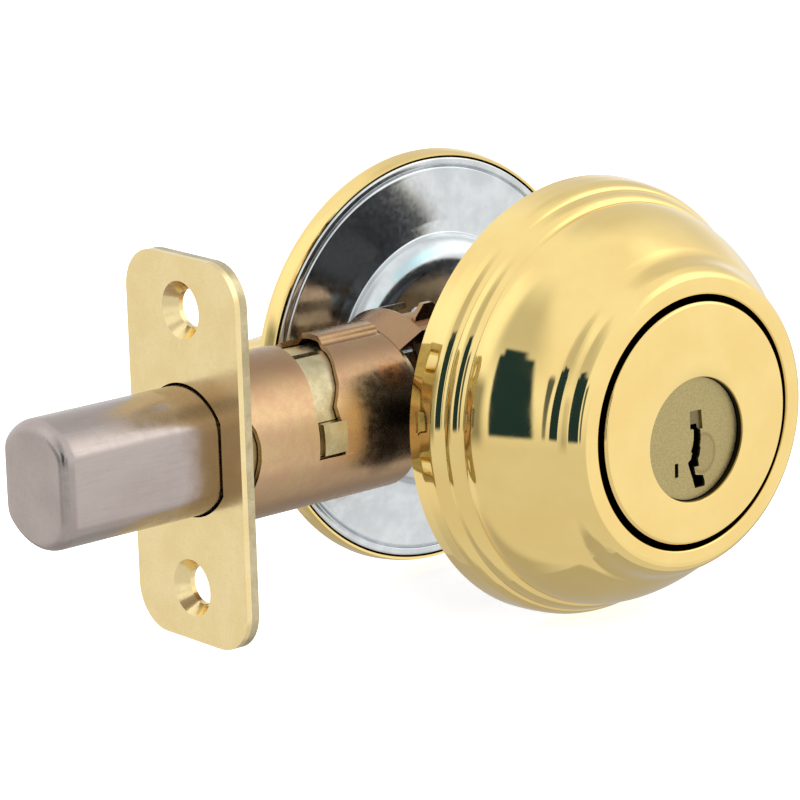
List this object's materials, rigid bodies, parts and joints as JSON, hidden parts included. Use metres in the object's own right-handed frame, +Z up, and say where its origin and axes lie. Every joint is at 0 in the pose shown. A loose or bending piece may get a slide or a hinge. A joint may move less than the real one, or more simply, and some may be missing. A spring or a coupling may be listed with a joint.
{
  "type": "deadbolt door lock",
  "caption": "Single-cylinder deadbolt: keyed brass cylinder outside, thumb turn inside, and an edge latch whose bolt slides out as the turn is worked.",
  "frame": {"origin": "centre of the door's cross bore on the bolt's centre line, 17.4625 mm behind the door's outer face", "axes": "+Z up; -Y out of the house, so the cylinder faces -Y and the thumb turn +Y; the bolt leaves the door edge towards -X"},
  "size_m": [0.1203, 0.0916, 0.066],
  "materials": {
    "polished_brass": "polished, lacquered",
    "satin_brass": "satin",
    "plug_brass": "fine brushed",
    "bolt_metal": "satin nickel-bronze plate",
    "bronze_zinc": "yellow-bronze zinc plate, grainy",
    "sleeve_zinc": "pale yellow zinc plate",
    "bright_zinc": "bright zinc plate",
    "spring_steel": "bright",
    "dark_zinc": "dark",
    "hard_steel": "ground",
    "clear_nylon": "natural"
  },
  "bodies": {
    "lock_case": {"exterior_housing": "polished_brass", "housing_ring": "dark_zinc", "cylinder_housing": "polished_brass", "faceplate": "satin_brass", "backplate": "sleeve_zinc", "latch_tube": "bronze_zinc", "inner_sleeve": "sleeve_zinc", "backset_stud": "sleeve_zinc", "case_plate_outer": "bronze_zinc", "case_plate_inner": "bronze_zinc", "case_spacers": "bright_zinc", "case_bridge": "bronze_zinc", "detent_spring": "spring_steel", "mounting_plate": "bright_zinc", "interior_rose": "polished_brass", "mounting_screws": "satin_brass", "turn_washer": "clear_nylon"},
    "thumb_turn_body": {"thumb_turn": "polished_brass", "turn_spindle": "bright_zinc", "turn_clip": "hard_steel", "torque_blade": "bright_zinc", "turn_cross_pin": "bright_zinc"},
    "hub_body": {"drive_hub": "bronze_zinc"},
    "bolt_body": {"bolt": "bolt_metal", "saw_pin": "hard_steel", "tail_plates": "bright_zinc", "tail_pin": "bright_zinc", "tail_rivets": "bright_zinc"},
    "plug_body": {"cylinder_plug": "plug_brass", "key_pins": "satin_brass", "pin_springs": "spring_steel", "wafers": "spring_steel", "side_bar": "bright_zinc", "side_bar_springs": "spring_steel", "plug_clip": "hard_steel"}
  },
  "joints": [
    {"name": "thumb_turn", "type": "hinge", "parent": "lock_case", "child": "thumb_turn_body", "pos_m": [0, 0, -0.0024], "axis": [0, 1, 0], "range_deg": [0, 90]},
    {"name": "hub_turn", "type": "hinge", "parent": "lock_case", "child": "hub_body", "pos_m": [0, 0, -0.0024], "axis": [0, 1, 0], "range_deg": [0, 90]},
    {"name": "bolt_slide", "type": "slide", "parent": "lock_case", "child": "bolt_body", "axis": [1, 0, 0], "range_m": [0, 0.0254]},
    {"name": "plug_turn", "type": "hinge", "parent": "lock_case", "child": "plug_body", "pos_m": [0, 0, -0.0024], "axis": [0, 1, 0], "range_deg": [-90, 0]}
  ],
  "couplings": [
    {"joint": "thumb_turn", "follows": "bolt_slide", "rad_per_m": 61.84},
    {"joint": "hub_turn", "follows": "bolt_slide", "rad_per_m": 61.84}
  ]
}
